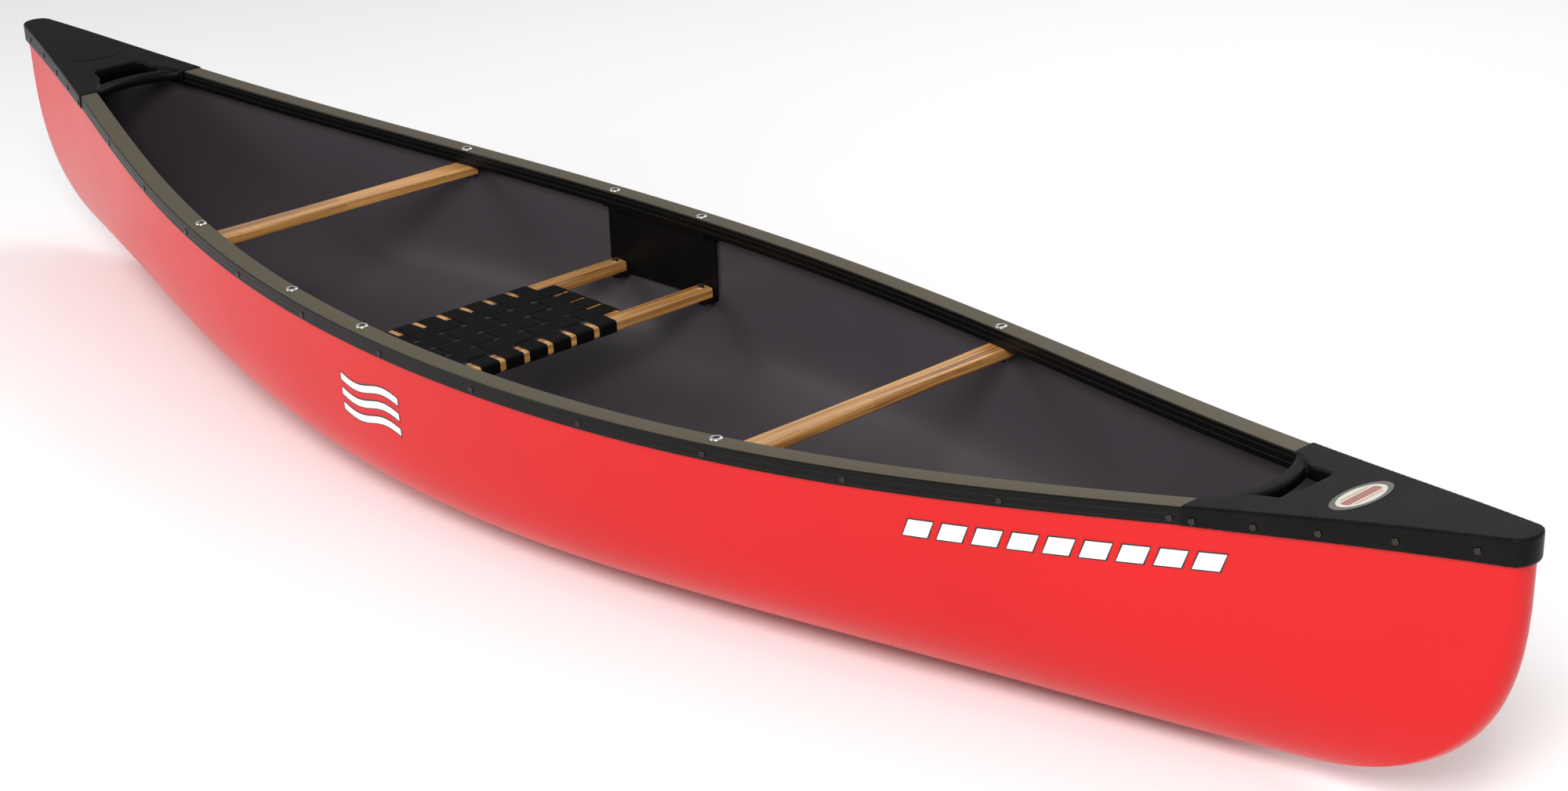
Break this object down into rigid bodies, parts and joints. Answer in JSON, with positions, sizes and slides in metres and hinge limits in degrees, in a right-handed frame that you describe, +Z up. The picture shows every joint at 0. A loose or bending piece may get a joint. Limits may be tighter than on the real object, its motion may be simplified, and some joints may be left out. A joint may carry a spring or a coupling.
{
  "type": "canoe",
  "caption": "Open solo canoe with a moulded three-layer hull, black gunwales and end decks with carry grips, wooden thwarts and a hung seat woven from webbing.",
  "frame": {"origin": "on the floor under the middle of the boat: the lowest line of the keel, amidships, on the centre plane", "axes": "+X runs to the bow, +Y to port, +Z up"},
  "size_m": [3.5794, 0.7692, 0.4534],
  "materials": {
    "hull_red": "moulded polyethylene, soft gloss",
    "hull_foam": "closed-cell polyethylene foam",
    "hull_lining": "moulded polyethylene, satin",
    "gunwale_vinyl": "extruded vinyl, satin",
    "insert_aluminium": "mill finish",
    "deck_plastic": "grained moulded polyethylene",
    "badge_enamel": "printed label under clear dome",
    "ash": "oiled and varnished ash",
    "hanger_plate": "black powder-coated aluminium sheet",
    "stainless": "stainless, bright",
    "black_nut": "black oxide",
    "black_rivet": "black enamelled rivet",
    "webbing": "woven polyester webbing"
  },
  "bodies": {
    "root": {"hull_outer_skin": "hull_red", "hull_foam_core": "hull_foam", "hull_inner_skin": "hull_lining", "gunwale_port": "gunwale_vinyl", "gunwale_starboard": "gunwale_vinyl", "gunwale_insert_port": "insert_aluminium", "gunwale_insert_starboard": "insert_aluminium", "bow_deck": "deck_plastic", "stern_deck": "deck_plastic", "bow_badge": "badge_enamel", "stern_badge": "deck_plastic", "bow_thwart": "ash", "stern_thwart": "ash", "seat_front_bar": "ash", "seat_rear_bar": "ash", "seat_rail_port": "ash", "seat_rail_starboard": "ash", "seat_dowels": "ash", "seat_hanger_port": "hanger_plate", "seat_hanger_starboard": "hanger_plate", "webbing_staples": "stainless", "thwart_bolts": "stainless", "thwart_nuts": "black_nut", "thwart_washers": "stainless", "hanger_bolts": "stainless", "hanger_nuts": "black_nut", "finishing_washers": "stainless", "seat_bolts": "stainless", "seat_washers": "stainless", "seat_nuts": "black_nut", "gunwale_rivets_port": "black_rivet", "gunwale_rivets_starboard": "black_rivet", "deck_rivets": "black_rivet", "webbing_lengthwise_1": "webbing", "webbing_lengthwise_2": "webbing", "webbing_lengthwise_3": "webbing", "webbing_lengthwise_4": "webbing", "webbing_lengthwise_5": "webbing", "webbing_lengthwise_6": "webbing", "webbing_lengthwise_7": "webbing", "webbing_crosswise_1": "webbing", "webbing_crosswise_2": "webbing", "webbing_crosswise_3": "webbing", "webbing_crosswise_4": "webbing"}
  },
  "joints": []
}
